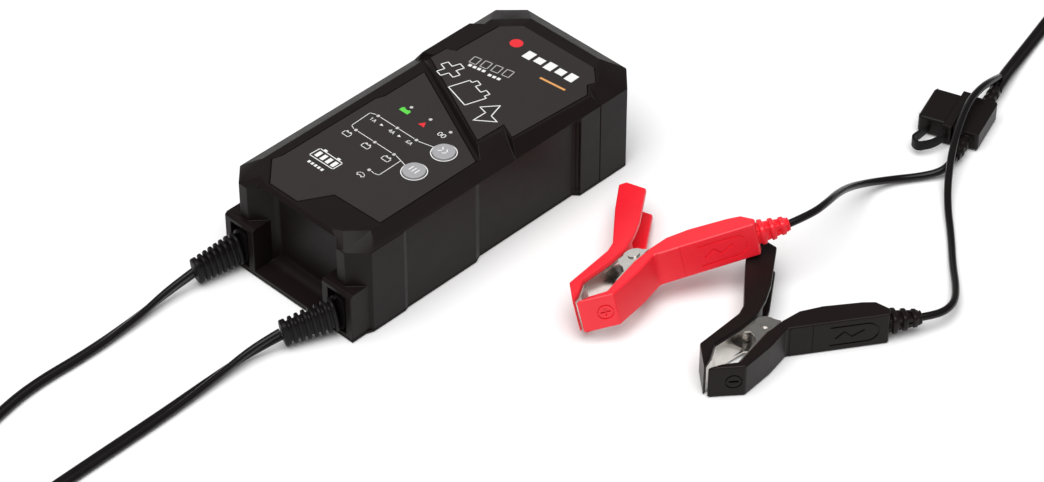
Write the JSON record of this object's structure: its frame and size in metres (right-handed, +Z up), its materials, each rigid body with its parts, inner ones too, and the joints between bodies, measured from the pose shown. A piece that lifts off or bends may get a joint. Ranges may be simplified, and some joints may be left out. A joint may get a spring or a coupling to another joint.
{
  "type": "battery_charger",
  "caption": "Smart car battery charger: black two-level case with keypad, mains cord, fused lead and red and black clamps",
  "frame": {"origin": "on the floor, under the middle of the case", "axes": "+X along the case away from the two cords, +Y towards the mains cord side, +Z up"},
  "size_m": [0.7062, 0.4557, 0.0568],
  "materials": {
    "black_case": "satin moulded ABS with a fine spark texture",
    "label_black": "matt polycarbonate overlay with printed symbols",
    "button_grey": "satin silver-grey moulded button",
    "lens_clear": "diffuse light pipe",
    "board_green": "solder-masked glass-fibre board",
    "component_black": "moulded component body",
    "component_green": "moulded terminal block",
    "component_yellow": "taped winding and boxed film capacitor",
    "component_sleeve": "shrink-sleeved can",
    "component_white": "nylon connector and ribbon",
    "copper": "enamelled copper wire",
    "heat_sink_alu": "mill-finish extrusion",
    "wire_pvc": "single-core wire insulation",
    "relief_rubber": "moulded soft PVC",
    "cord_pvc": "glossy flexible PVC sheath",
    "holder_black": "moulded nylon",
    "fuse_tan": "translucent fuse body",
    "brass_contact": "tinned brass receptacle",
    "zinc_steel": "zinc-plated steel",
    "plated_steel": "nickel-plated steel",
    "clamp_black": "satin moulded cover",
    "clamp_red": "satin moulded cover"
  },
  "bodies": {
    "root": {"base_plate": "black_case", "black_fixed_jaw": "plated_steel", "black_handle_cover": "clamp_black", "black_rivet": "plated_steel", "black_spring": "zinc_steel", "blade_fuse": "fuse_tan", "board_fuse": "lens_clear", "board_link": "component_white", "board_screws": "zinc_steel", "bridge_rectifier": "component_black", "bulk_capacitor": "component_sleeve", "cap_tether": "relief_rubber", "case_body": "black_case", "case_screws": "zinc_steel", "coil_tie": "relief_rubber", "dc_lead": "cord_pvc", "dc_strain_relief": "relief_rubber", "display_board": "board_green", "display_screws": "zinc_steel", "filter_capacitor": "component_yellow", "filter_choke_core": "component_black", "filter_choke_windings": "copper", "fuse_holder_body": "holder_black", "fuse_terminals": "brass_contact", "heat_sink": "heat_sink_alu", "inner_wires": "wire_pvc", "keypad_label": "label_black", "led_lenses": "lens_clear", "lid": "black_case", "main_board": "board_green", "mains_coil": "cord_pvc", "mains_cord": "cord_pvc", "mains_strain_relief": "relief_rubber", "nameplate_label": "label_black", "negative_core": "cord_pvc", "output_capacitors": "component_sleeve", "output_inductor": "copper", "output_relay": "component_black", "plug_body": "relief_rubber", "plug_pins": "plated_steel", "positive_core": "cord_pvc", "power_transistors": "component_black", "red_fixed_jaw": "plated_steel", "red_handle_cover": "clamp_red", "red_rivet": "plated_steel", "red_spring": "zinc_steel", "status_leds": "lens_clear", "tact_switches": "component_black", "terminal_blocks": "component_green", "transformer_core": "component_black", "transformer_winding": "component_yellow"},
    "amps_press": {"amps_button": "button_grey", "amps_plunger": "button_grey"},
    "mode_press": {"mode_button": "button_grey", "mode_plunger": "button_grey"},
    "fuse_cap_body": {"fuse_cap": "holder_black"},
    "black_lever": {"black_lever_cover": "clamp_black", "black_moving_jaw": "plated_steel"},
    "red_lever": {"red_lever_cover": "clamp_red", "red_moving_jaw": "plated_steel"}
  },
  "joints": [
    {"name": "amps_button_travel", "type": "slide", "parent": "root", "child": "amps_press", "axis": [0, 0, -1], "range_m": [0, 0.0006], "stiffness_N_per_m": 800, "springref_m": -0.001},
    {"name": "mode_button_travel", "type": "slide", "parent": "root", "child": "mode_press", "axis": [0, 0, -1], "range_m": [0, 0.0006], "stiffness_N_per_m": 800, "springref_m": -0.001},
    {"name": "fuse_cap_pull", "type": "slide", "parent": "root", "child": "fuse_cap_body", "axis": [-0.3256, 0.9455, 0], "range_m": [0, 0.022]},
    {"name": "black_clamp_open", "type": "hinge", "parent": "root", "child": "black_lever", "pos_m": [0.0333, -0.1836, 0.00905], "axis": [0, 0, -1], "range_deg": [0, 32], "stiffness_Nm_per_rad": 0.6, "springref_deg": -45.84},
    {"name": "red_clamp_open", "type": "hinge", "parent": "root", "child": "red_lever", "pos_m": [0.01957, -0.11497, 0.01742], "axis": [0.0701, -0.2369, -0.969], "range_deg": [0, 32], "stiffness_Nm_per_rad": 0.6, "springref_deg": -45.84}
  ]
}
